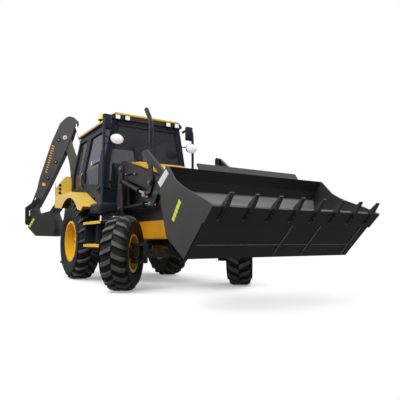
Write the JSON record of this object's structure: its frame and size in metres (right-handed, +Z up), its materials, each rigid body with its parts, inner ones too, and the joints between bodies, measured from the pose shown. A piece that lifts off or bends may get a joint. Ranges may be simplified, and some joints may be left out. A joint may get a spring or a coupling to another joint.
{
  "type": "backhoe loader",
  "caption": "Articulated backhoe loader with cab, lifting front bucket on Z-bar arms, steered front wheels, side-shift folding digging arm and stabilizer legs.",
  "frame": {"origin": "centre of the machine's bounding box in plan, on the ground", "axes": "+X towards the loader bucket, +Y to the driver's left, +Z up"},
  "size_m": [7.669, 2.9238, 3.62],
  "materials": {
    "tyre_rubber": "matte black rubber",
    "wheel_yellow": "gloss yellow paint",
    "chromed_rod": "polished chrome",
    "ram_black": "satin black paint",
    "cab_glass": "smoked safety glass",
    "body_yellow": "gloss orange-yellow paint",
    "charcoal_paint": "satin charcoal paint",
    "cab_dark": "satin dark grey paint",
    "cast_dark": "painted cast iron",
    "seat_cloth": "dark woven cloth",
    "trim_plastic": "grained black plastic",
    "exhaust_steel": "heat-dulled steel"
  },
  "bodies": {
    "chassis": {"chassis_frame": "body_yellow", "front_axle": "cast_dark", "rear_axle": "cast_dark", "engine_block": "cast_dark", "cab_frame": "cab_dark", "cab_roof": "body_yellow", "windscreen": "cab_glass", "rear_window": "cab_glass", "driver_seat": "seat_cloth", "steering_console": "trim_plastic", "left_rear_fender": "body_yellow", "right_rear_fender": "body_yellow", "left_step_box": "cab_dark", "right_step_box": "cab_dark"},
    "hood_body": {"hood": "body_yellow", "exhaust_stack": "exhaust_steel"},
    "loader": {"loader_arms": "charcoal_paint"},
    "loader_bucket": {"front_bucket": "charcoal_paint"},
    "left_cab_door": {"left_door": "cab_dark", "left_door_glass": "cab_glass"},
    "left_lift_cylinder": {"left_lift_ram_barrel": "ram_black"},
    "left_lift_piston": {"left_lift_ram_rod": "chromed_rod"},
    "left_lever": {"left_tilt_lever": "charcoal_paint"},
    "left_link": {"left_tilt_link": "charcoal_paint"},
    "left_tilt_cylinder": {"left_tilt_ram_barrel": "ram_black"},
    "left_tilt_piston": {"left_tilt_ram_rod": "chromed_rod"},
    "left_knuckle": {"left_steering_knuckle": "cast_dark"},
    "left_front_wheel": {"left_front_tyre": "tyre_rubber", "left_front_rim": "wheel_yellow"},
    "left_rear_wheel": {"left_rear_tyre": "tyre_rubber", "left_rear_rim": "wheel_yellow"},
    "left_stabilizer": {"left_stabilizer_leg": "charcoal_paint"},
    "right_cab_door": {"right_door": "cab_dark", "right_door_glass": "cab_glass"},
    "right_lift_cylinder": {"right_lift_ram_barrel": "ram_black"},
    "right_lift_piston": {"right_lift_ram_rod": "chromed_rod"},
    "right_lever": {"right_tilt_lever": "charcoal_paint"},
    "right_link": {"right_tilt_link": "charcoal_paint"},
    "right_tilt_cylinder": {"right_tilt_ram_barrel": "ram_black"},
    "right_tilt_piston": {"right_tilt_ram_rod": "chromed_rod"},
    "right_knuckle": {"right_steering_knuckle": "cast_dark"},
    "right_front_wheel": {"right_front_tyre": "tyre_rubber", "right_front_rim": "wheel_yellow"},
    "right_rear_wheel": {"right_rear_tyre": "tyre_rubber", "right_rear_rim": "wheel_yellow"},
    "right_stabilizer": {"right_stabilizer_leg": "charcoal_paint"},
    "side_shift": {"side_shift_carriage": "charcoal_paint"},
    "post": {"swing_post": "charcoal_paint"},
    "boom": {"backhoe_boom": "charcoal_paint"},
    "dipper_arm": {"dipper": "charcoal_paint"},
    "hoe_bucket": {"backhoe_bucket": "charcoal_paint"},
    "hoe_lever": {"bucket_lever": "charcoal_paint"},
    "hoe_link": {"bucket_link": "charcoal_paint"},
    "boom_cylinder": {"boom_ram_barrel": "ram_black"},
    "boom_piston": {"boom_ram_rod": "chromed_rod"},
    "dipper_cylinder": {"dipper_ram_barrel": "ram_black"},
    "dipper_piston": {"dipper_ram_rod": "chromed_rod"},
    "bucket_cylinder": {"bucket_ram_barrel": "ram_black"},
    "bucket_piston": {"bucket_ram_rod": "chromed_rod"}
  },
  "joints": [
    {"name": "hood_lid", "type": "hinge", "parent": "chassis", "child": "hood_body", "pos_m": [1.53255, 0.04384, 1.215], "axis": [0, 1, 0], "range_deg": [0, 50]},
    {"name": "loader_lift", "type": "hinge", "parent": "chassis", "child": "loader", "pos_m": [0.05255, 0.04384, 1.93], "axis": [0, -1, 0], "range_deg": [-12.5, 53.8]},
    {"name": "loader_bucket_tilt", "type": "hinge", "parent": "loader", "child": "loader_bucket", "pos_m": [2.67254, 0.04384, 0.84], "axis": [0, 1, 0], "range_deg": [-5, 144]},
    {"name": "left_door_hinge", "type": "hinge", "parent": "chassis", "child": "left_cab_door", "pos_m": [-1.42246, 0.88784, 1.8], "axis": [0, 0, 1], "range_deg": [0, 90]},
    {"name": "left_lift_ram_pivot", "type": "hinge", "parent": "chassis", "child": "left_lift_cylinder", "pos_m": [0.00254, 0.59384, 1.25], "axis": [0, -1, 0], "range_deg": [-10.88, 45.15]},
    {"name": "left_lift_ram_stroke", "type": "slide", "parent": "left_lift_cylinder", "child": "left_lift_piston", "axis": [0.9999, 0, 0.0165], "range_m": [-0.1364, 0.574]},
    {"name": "left_lever_pivot", "type": "hinge", "parent": "loader", "child": "left_lever", "pos_m": [1.23255, 0.65184, 1.569], "axis": [0, 1, 0], "range_deg": [-3, 72.5]},
    {"name": "left_link_pivot", "type": "hinge", "parent": "left_lever", "child": "left_link", "pos_m": [1.17254, 0.68384, 2.02], "axis": [0, 1, 0], "range_deg": [-71.06, 2.95]},
    {"name": "left_tilt_ram_pivot", "type": "hinge", "parent": "loader", "child": "left_tilt_cylinder", "pos_m": [0.23255, 0.70384, 1.7], "axis": [0, 1, 0], "range_deg": [-10.58, 0.85]},
    {"name": "left_tilt_ram_stroke", "type": "slide", "parent": "left_tilt_cylinder", "child": "left_tilt_piston", "axis": [0.9487, 0, -0.3162], "range_m": [-0.148, 0.009]},
    {"name": "left_steering", "type": "hinge", "parent": "chassis", "child": "left_knuckle", "pos_m": [1.18254, 0.86984, 0.535], "axis": [0, 0, 1], "range_deg": [0, 80]},
    {"name": "left_front_wheel_spin", "type": "hinge", "parent": "left_knuckle", "child": "left_front_wheel", "pos_m": [1.30082, 1.01079, 0.535], "axis": [0.6428, 0.766, 0], "continuous": true},
    {"name": "left_rear_wheel_spin", "type": "hinge", "parent": "chassis", "child": "left_rear_wheel", "pos_m": [-1.16745, 0.97384, 0.7], "axis": [0, 1, 0], "continuous": true},
    {"name": "left_stabilizer_drop", "type": "slide", "parent": "chassis", "child": "left_stabilizer", "axis": [0, 0, -1], "range_m": [0, 0.4]},
    {"name": "right_door_hinge", "type": "hinge", "parent": "chassis", "child": "right_cab_door", "pos_m": [-1.42246, -0.80016, 1.8], "axis": [0, 0, -1], "range_deg": [0, 90]},
    {"name": "right_lift_ram_pivot", "type": "hinge", "parent": "chassis", "child": "right_lift_cylinder", "pos_m": [0.00254, -0.50616, 1.25], "axis": [0, -1, 0], "range_deg": [-10.88, 45.15]},
    {"name": "right_lift_ram_stroke", "type": "slide", "parent": "right_lift_cylinder", "child": "right_lift_piston", "axis": [0.9999, 0, 0.0165], "range_m": [-0.1364, 0.574]},
    {"name": "right_lever_pivot", "type": "hinge", "parent": "loader", "child": "right_lever", "pos_m": [1.23255, -0.56416, 1.569], "axis": [0, 1, 0], "range_deg": [-3, 72.5]},
    {"name": "right_link_pivot", "type": "hinge", "parent": "right_lever", "child": "right_link", "pos_m": [1.17254, -0.59616, 2.02], "axis": [0, 1, 0], "range_deg": [-71.06, 2.95]},
    {"name": "right_tilt_ram_pivot", "type": "hinge", "parent": "loader", "child": "right_tilt_cylinder", "pos_m": [0.23255, -0.61616, 1.7], "axis": [0, 1, 0], "range_deg": [-10.58, 0.85]},
    {"name": "right_tilt_ram_stroke", "type": "slide", "parent": "right_tilt_cylinder", "child": "right_tilt_piston", "axis": [0.9487, 0, -0.3162], "range_m": [-0.148, 0.009]},
    {"name": "right_steering", "type": "hinge", "parent": "chassis", "child": "right_knuckle", "pos_m": [1.18254, -0.78216, 0.535], "axis": [0, 0, 1], "range_deg": [0, 80]},
    {"name": "right_front_wheel_spin", "type": "hinge", "parent": "right_knuckle", "child": "right_front_wheel", "pos_m": [1.06427, -0.92312, 0.535], "axis": [0.6428, 0.766, 0], "continuous": true},
    {"name": "right_rear_wheel_spin", "type": "hinge", "parent": "chassis", "child": "right_rear_wheel", "pos_m": [-1.16745, -0.88616, 0.7], "axis": [0, 1, 0], "continuous": true},
    {"name": "right_stabilizer_drop", "type": "slide", "parent": "chassis", "child": "right_stabilizer", "axis": [0, 0, -1], "range_m": [0, 0.4]},
    {"name": "side_shift_slide", "type": "slide", "parent": "chassis", "child": "side_shift", "axis": [0, 1, 0], "range_m": [-0.2, 0.92]},
    {"name": "backhoe_swing", "type": "hinge", "parent": "side_shift", "child": "post", "pos_m": [-2.96746, -0.31616, 0.9], "axis": [0, 0, -1], "range_deg": [-33, 147]},
    {"name": "boom_lower", "type": "hinge", "parent": "post", "child": "boom", "pos_m": [-3.13085, -0.56776, 0.95], "axis": [0.8387, -0.5446, 0], "range_deg": [0, 115]},
    {"name": "dipper_extend", "type": "hinge", "parent": "boom", "child": "dipper_arm", "pos_m": [-3.19076, -0.66002, 3.11], "axis": [-0.8387, 0.5446, 0], "range_deg": [0, 115]},
    {"name": "hoe_bucket_open", "type": "hinge", "parent": "dipper_arm", "child": "hoe_bucket", "pos_m": [-3.54477, -1.20515, 1.36], "axis": [-0.8387, 0.5446, 0], "range_deg": [0, 140]},
    {"name": "hoe_lever_pivot", "type": "hinge", "parent": "dipper_arm", "child": "hoe_lever", "pos_m": [-3.50392, -1.14226, 1.64], "axis": [-0.8387, 0.5446, 0], "range_deg": [0, 123.7]},
    {"name": "hoe_link_pivot", "type": "hinge", "parent": "hoe_bucket", "child": "hoe_link", "pos_m": [-3.62919, -1.33515, 1.115], "axis": [-0.8387, 0.5446, 0], "range_deg": [-112.5, 0]},
    {"name": "boom_ram_pivot", "type": "hinge", "parent": "post", "child": "boom_cylinder", "pos_m": [-2.91299, -0.2323, 1.25], "axis": [0.8387, -0.5446, 0], "range_deg": [0, 103.42]},
    {"name": "boom_ram_stroke", "type": "slide", "parent": "boom_cylinder", "child": "boom_piston", "axis": [-0.1034, -0.1592, 0.9818], "range_m": [0, 0.794]},
    {"name": "dipper_ram_pivot", "type": "hinge", "parent": "boom", "child": "dipper_cylinder", "pos_m": [-2.79317, -0.04779, 1.85], "axis": [-0.8387, 0.5446, 0], "range_deg": [0, 1.65]},
    {"name": "dipper_ram_stroke", "type": "slide", "parent": "dipper_cylinder", "child": "dipper_piston", "axis": [-0.1708, -0.263, 0.9495], "range_m": [-0.7169, 0]},
    {"name": "bucket_ram_pivot", "type": "hinge", "parent": "dipper_arm", "child": "bucket_cylinder", "pos_m": [-3.31602, -0.85291, 3.03], "axis": [-0.8387, 0.5446, 0], "range_deg": [0, 4.7]},
    {"name": "bucket_ram_stroke", "type": "slide", "parent": "bucket_cylinder", "child": "bucket_piston", "axis": [-0.1889, -0.2908, -0.9379], "range_m": [-0.5501, 0]}
  ],
  "couplings": [
    {"joint": "left_lift_ram_pivot", "follows": "loader_lift", "ratio": 0.83},
    {"joint": "left_lift_ram_stroke", "follows": "loader_lift", "m_per_rad": 0.607},
    {"joint": "left_lever_pivot", "follows": "loader_bucket_tilt", "ratio": 0.5},
    {"joint": "left_link_pivot", "follows": "loader_bucket_tilt", "ratio": -0.49},
    {"joint": "left_tilt_ram_pivot", "follows": "loader_bucket_tilt", "ratio": -0.07},
    {"joint": "left_tilt_ram_stroke", "follows": "loader_bucket_tilt", "m_per_rad": -0.0573},
    {"joint": "right_lift_ram_pivot", "follows": "loader_lift", "ratio": 0.83},
    {"joint": "right_lift_ram_stroke", "follows": "loader_lift", "m_per_rad": 0.607},
    {"joint": "right_lever_pivot", "follows": "loader_bucket_tilt", "ratio": 0.5},
    {"joint": "right_link_pivot", "follows": "loader_bucket_tilt", "ratio": -0.49},
    {"joint": "right_tilt_ram_pivot", "follows": "loader_bucket_tilt", "ratio": -0.07},
    {"joint": "right_tilt_ram_stroke", "follows": "loader_bucket_tilt", "m_per_rad": -0.0573},
    {"joint": "right_steering", "follows": "left_steering", "ratio": 1},
    {"joint": "hoe_lever_pivot", "follows": "hoe_bucket_open", "ratio": 0.88},
    {"joint": "hoe_link_pivot", "follows": "hoe_bucket_open", "ratio": -0.8},
    {"joint": "boom_ram_pivot", "follows": "boom_lower", "ratio": 0.895},
    {"joint": "boom_ram_stroke", "follows": "boom_lower", "m_per_rad": 0.3936},
    {"joint": "dipper_ram_pivot", "follows": "dipper_extend", "ratio": 0.01},
    {"joint": "dipper_ram_stroke", "follows": "dipper_extend", "m_per_rad": -0.3552},
    {"joint": "bucket_ram_pivot", "follows": "hoe_bucket_open", "ratio": 0.03},
    {"joint": "bucket_ram_stroke", "follows": "hoe_bucket_open", "m_per_rad": -0.2235}
  ]
}
